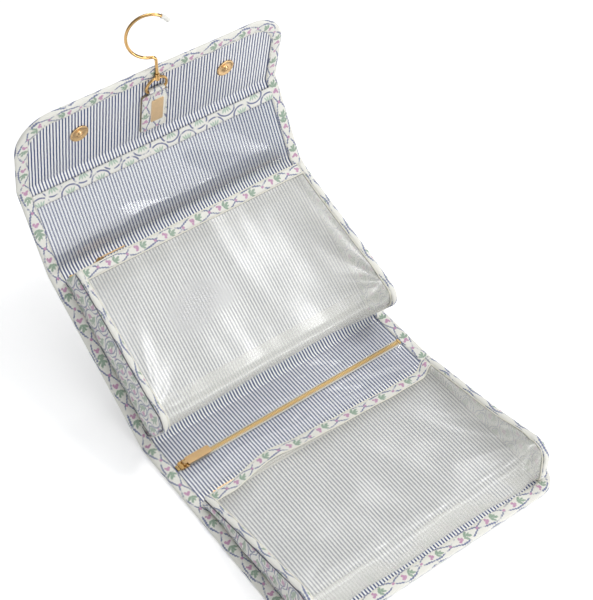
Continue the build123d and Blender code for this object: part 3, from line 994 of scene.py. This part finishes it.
def build_teeth(zipper):
    """Blunt wedges from the two sides by turns, meeting over the middle line."""
    points, faces = [], []
    count = round(2 * ZIP_HALF / TOOTH_PITCH)
    for i in range(count):
        x = -ZIP_HALF + TOOTH_PITCH * (i + 0.5)
        side = 1 if i % 2 else -1
        first = len(points)
        for across, half, top in TOOTH_RINGS:
            for dx, out in ((-half, 0.0), (half, 0.0), (half * 0.8, top), (-half * 0.8, top)):
                points.append(zipper.at(x + dx * MM, side * across * MM, out * MM))
        for ring in (0, 4):
            for k in range(4):
                m = (k + 1) % 4
                a = first + ring
                faces.append((a + k, a + m, a + 4 + m, a + 4 + k)[::side])
        faces.append((first, first + 3, first + 2, first + 1)[::side])
        faces.append((first + 8, first + 9, first + 10, first + 11)[::side])
    uvs = [[(0, 0)] * 4 for _ in faces]
    teeth = mesh_object(f"{zipper.name}_teeth", points, faces, uvs, GOLD_DULL, smooth_faces=False)
    keep(teeth, zipper.body, "zip_teeth", f"{zipper.name}_zip_teeth")


def build_tapes(zipper, width):
    """Two tapes with a corded inner edge, which hold the teeth."""
    section = [(0.25, 0.0), (0.3, 0.15), (0.9, 0.25), (1.5, 0.2)]
    section += [(width, 0.15), (width, -0.1), (0.25, -0.1)]
    for side, name in ((-1, "low"), (1, "high")):
        rows, uvs = [], []
        for x in steps(-ZIP_HALF - 2 * MM, ZIP_HALF + 2 * MM, 130):
            sway = 0.12 * math.sin(x * 60 + side)
            shape = [(side * across * MM, (out + sway) * MM) for across, out in section]
            rows.append([zipper.at(x, across, out - 0.1 * MM) for across, out in shape])
            uvs.append([(across, x) for across, _ in shape] + [(0, x)])
        tape = grid(f"{zipper.name}_tape_{name}", rows, uvs, TAPE, closed=True, capped=True)
        keep(tape, zipper.body, "zip_tape", f"{zipper.name}_zip_tape")


def middle_of(node):
    low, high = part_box(node)
    return (low + high) / 2


def section_directions(body):
    """The directions along a section and out of its inner face."""
    angle = SECTIONS[BODIES.index(body)][1]
    along = Vector((0, math.cos(angle), math.sin(angle)))
    return along, Vector((0, -along.z, along.y))


def zip_on(name, body, on_wall, tape_width):
    """A zip that lies on a section, or stands on the wall of a pouch's mouth."""
    along, out = section_directions(body)
    if on_wall:
        along, out = -out, along
    middle = middle_of(f"{name}_zip_teeth") - out * 0.5 * MM
    zipper = Zip(name, body, middle, along, out)
    build_teeth(zipper)
    build_tapes(zipper, tape_width)


zip_on("spine", "spine", False, 3.4)
zip_on("upper", "back", True, 6.5)
zip_on("lower", "front", True, 4.2)


# --------------------
# Snap studs, hanging tab and its loop.
# --------------------
def lathe(name, centre, out, profile, material, sides=40):
    """A turned piece: radius and height pairs about an axis."""
    side = out.orthogonal().normalized()
    up = out.cross(side)
    rows, uvs = [], []
    for radius, height in profile:
        ring = [(math.cos(TAU * k / sides), math.sin(TAU * k / sides)) for k in range(sides)]
        rows.append([centre + (side * c + up * s) * radius * MM + out * height * MM for c, s in ring])
        uvs.append([(radius * MM, k * MM) for k in range(sides + 1)])
    return grid(name, rows, uvs, material, closed=True, capped=True)


STUD_PROFILE = [
    (8.2, 0.0), (8.7, 0.35), (8.6, 0.9), (8.1, 1.25), (7.4, 1.3), (6.6, 0.95), (4.8, 0.85), (3.5, 0.9),
    (3.0, 1.1), (2.5, 1.6), (2.4, 2.7), (2.1, 3.2), (1.6, 3.35), (1.1, 3.1), (0.9, 2.2), (0.2, 2.1),
]
flap_along, flap_out = section_directions("flap")
studs_low, studs_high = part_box("snap_studs")
stud_reach = studs_high.x - STUD_PROFILE[1][0] * MM
stud_v = START["flap"] + ((studs_low + studs_high) / 2 - at(0, START["flap"] + FOLD)).dot(flap_along) + FOLD
for side, name in ((-1, "left"), (1, "right")):
    stud = lathe(f"stud_{name}", at(side * stud_reach, stud_v), flap_out, STUD_PROFILE, GOLD_SATIN)
    keep(stud, "flap", "gold_metal", "snap_studs")


def rounded_outline(half_width_mm, low, high, radius, arc_steps=8):
    """Corner-rounded outline in millimetres, counter-clockwise."""
    result = []
    corners = [(half_width_mm, low), (half_width_mm, high), (-half_width_mm, high), (-half_width_mm, low)]
    for (x, y), start in zip(corners, (-90, 0, 90, 180)):
        cx = x - math.copysign(radius, x)
        cy = y + (radius if y == low else -radius)
        for t in steps(0, 1, arc_steps):
            a = math.radians(start + 90 * t)
            result.append((cx + radius * math.cos(a), cy + radius * math.sin(a)))
    return result


def on_flap(x, s, n):
    return on_section(4, x * MM, START["flap"] + s * MM, n * MM)


def flap_place(node):
    """Lowest and highest s of a node that lies on the flap, in millimetres."""
    low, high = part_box(node)
    base = on_section(4, 0, START["flap"], 0)
    rise = flap_along.z
    return (low.z - base.z) / rise / MM, (high.z - base.z) / rise / MM


TAB_CORNER = 3.0
TAB_SEAM = 2.2
TAB_EDGE_LAYERS = [(0.0, 0.0), (0.0, 0.6), (0.05, 1.3), (0.35, 1.9)]
TAB_FACE_LAYERS = [(0.35, 1.9), (1.2, 2.05), (TAB_SEAM, 1.95), (4.0, 2.15), (8.0, 2.15)]


def build_tab():
    """The hanging tab: painted edge, quilted face and its stitches."""
    low, high = flap_place("hanging_tab")
    low += 0.3
    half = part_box("hanging_tab")[1].x / MM
    rows, uvs = [], []
    for inset, height in TAB_EDGE_LAYERS:
        outline = rounded_outline(half - inset, low + inset, high - inset, TAB_CORNER)
        rows.append([on_flap(x, s, height) for x, s in outline])
        uvs.append([(x * MM, s * MM) for x, s in outline + outline[:1]])
    edge = grid("tab_edge", rows, uvs, EDGE_PAINT, closed=True)
    rows, uvs = [], []
    for inset, height in TAB_FACE_LAYERS + [(half - 0.5, 2.15)]:
        corner = max(0.4, TAB_CORNER - inset)
        outline = rounded_outline(half - inset, low + inset, high - inset, corner)
        rows.append([on_flap(x, s, height) for x, s in outline])
        uvs.append([((x + 3) * MM, (s + 6) * MM) for x, s in outline + outline[:1]])
    face = grid("tab_face", rows, uvs, PRINT_EDGE, closed=True, capped=True)
    seam = rounded_outline(half - TAB_SEAM, low + TAB_SEAM, high - TAB_SEAM, TAB_CORNER / 2)
    outline = [Vector(place) for place in seam]
    run = resample(outline + outline[:1], 2.6)
    marks = []
    for a, b in zip(run, run[1:]):
        here, there = on_flap(a.x, a.y, 2.1), on_flap(b.x, b.y, 2.1)
        marks.append(((here + there) / 2, (there - here).normalized(), flap_out))
    thread = stitches("tab_stitches", marks, 1.8 * MM, 0.2 * MM)
    for piece in (edge, face, thread):
        keep(piece, "flap", "print_cloth", "hanging_tab")


def build_loop():
    """The strap that goes up from the tab, round the ring's bar and back."""
    bar = Vector(joints["ring_pivot"]["pos_m"])
    base = on_section(4, 0, START["flap"], 0)
    bar_s = (bar - base).dot(flap_along) / MM
    bar_n = (bar - base).dot(flap_out) / MM
    reach = 1.5               # inner radius of the strap round the bar
    strap = 0.85
    half = 7.5
    tab_high = flap_place("hanging_tab")[1]
    outer, inner = [], []
    for angle in steps(-90, 90, 12):
        a = math.radians(angle)
        for ring, radius in ((outer, reach + strap), (inner, reach)):
            ring.append((bar_s + radius * math.cos(a), bar_n + radius * math.sin(a)))
    foot = tab_high - 0.4
    outer = [(foot, bar_n - reach - strap)] + outer + [(bar_s - 2.2, bar_n + 1.2), (foot, 1.9)]
    inner = [(foot, bar_n - reach)] + inner + [(bar_s - 2.4, bar_n + 0.3), (foot, 1.2)]
    section = outer + inner[::-1]
    rows, uvs = [], []
    along = [0]
    for (s0, n0), (s1, n1) in zip(section, section[1:] + section[:1]):
        along.append(along[-1] + math.hypot(s1 - s0, n1 - n0))
    for x in (-half, -half + 0.25, *steps(-half + 1, half - 1, 6), half - 0.25, half):
        rows.append([on_flap(x, s, n) for s, n in section])
        uvs.append([(x * MM, a * MM) for a in along])
    loop = grid("ring_loop", rows, uvs, PRINT_EDGE, closed=True, capped=True)
    keep(loop, "flap", "print_cloth", "tab_loop")


build_tab()
build_loop()


# --------------------
# Metal and rubber parts that stay as the CAD makes them, with their own finish.
# --------------------
FINISHES = {
    "d_ring": GOLD,
    "swivel_hook": GOLD,
    "swivel_head": GOLD,
    "snap_sockets": GOLD_SATIN,
    "tab_plate": GOLD_PLATE,
    "hook_cap": CAP,
}
for zipper in ("upper", "lower", "spine"):
    FINISHES |= {f"{zipper}_zip_stops": GOLD_DULL, f"{zipper}_slider": GOLD, f"{zipper}_pull": GOLD_SATIN}
for node, material in FINISHES.items():
    for material_slot in frame["nodes"][node].material_slots:
        material_slot.material = material

# --------------------
# Floor, light and camera.
# --------------------
FLOOR_HALF = 9
FLOOR_DROP = 0.6 * MM
FLOOR_GLOW = 0.30
SKY_COLOUR = (0.95, 0.97, 1.0, 1)
SKY_STRENGTH = 0.34
CAMERA_PLACE = Vector((-0.50408, -0.53781, 1.05533))
CAMERA_RIGHT = Vector((0.80265, -0.59624, 0.01573))
CAMERA_UP = Vector((0.43361, 0.60143, 0.67101))
CAMERA_BACKWARD = Vector((-0.40954, -0.53177, 0.74128))

floor_material = soft_rubber("floor", (0.93, 0.93, 0.93))
floor_shader = floor_material.node_tree.nodes["Principled BSDF"]
floor_shader.inputs["Emission Color"].default_value = (1, 1, 1, 1)
floor_shader.inputs["Emission Strength"].default_value = FLOOR_GLOW
square = [(-1, -1), (1, -1), (1, 1), (-1, 1)]
corners = [(x * FLOOR_HALF, y * FLOOR_HALF, -FLOOR_DROP) for x, y in square]
floor = mesh_object("floor", corners, [(0, 1, 2, 3)], [square], floor_material)

world = bpy.data.worlds.new("studio")
world.use_nodes = True
world.node_tree.nodes["Background"].inputs["Color"].default_value = SKY_COLOUR
world.node_tree.nodes["Background"].inputs["Strength"].default_value = SKY_STRENGTH
bpy.context.scene.world = world



def softbox(name, place, aim, size, power, level=False):
    """A rectangular light; a level one has its long side along X."""
    light = bpy.data.lights.new(name, "AREA")
    light.shape = "RECTANGLE"
    light.size, light.size_y = size
    light.energy = power
    lamp = bpy.data.objects.new(name, light)
    backward = (Vector(place) - Vector(aim)).normalized()
    turn = backward.to_track_quat("Z", "Y").to_matrix()
    if level:
        backward = Vector((0, backward.y, backward.z)).normalized()
        turn = Matrix((ACROSS, backward.cross(ACROSS), backward)).transposed()
    lamp.matrix_world = Matrix.Translation(place) @ turn.to_4x4()
    lamp.visible_camera = False
    bpy.context.scene.collection.objects.link(lamp)


def mirrored_place(spot, out, distance):
    """Where a light must be for the camera to see it mirrored at a spot of a face."""
    ray = (spot - CAMERA_PLACE).normalized()
    return spot + (ray - 2 * ray.dot(out) * out) * distance


softbox("ceiling", (0.3, 0.3, 2.6), (0, 0.2, 0), (2.4, 2.4), 34)
softbox("key", (1.15, -0.2, 1.9), (0, 0.15, 0.05), (0.4, 0.4), 9)
softbox("back_strip", (0.8, 1.3, 1.4), (0, 0.1, 0.0), (0.5, 0.12), 2.6)
softbox("front_fill", (0.5, -2.2, 0.7), (0, 0.3, 0.15), (1.4, 1.0), 10)

# A long strip shows as a band of glare across the top section's clear pocket, whose sheet
# leans back a little from its section there.
SHEET_TILT = 0.06
STRIP_DISTANCE = 1.6
STRIP_DROP = 0.05
top_along, top_out = section_directions("top")
glare_spot = at(0, START["top"] + 9 * MM)
glare_place = mirrored_place(glare_spot, top_out - SHEET_TILT * top_along, STRIP_DISTANCE)
glare_place -= STRIP_DROP * top_along
softbox("pocket_strip", glare_place, glare_spot, (1.6, 0.13), 5.0, level=True)

camera = bpy.data.cameras.new("camera")
camera.sensor_width = 36
camera.lens = 90.14
view = bpy.data.objects.new("camera", camera)
turn = Matrix((CAMERA_RIGHT, CAMERA_UP, CAMERA_BACKWARD)).transposed().to_4x4()
view.matrix_world = Matrix.Translation(CAMERA_PLACE) @ turn
bpy.context.scene.collection.objects.link(view)
bpy.context.scene.camera = view
bpy.context.scene.view_settings.view_transform = "Standard"
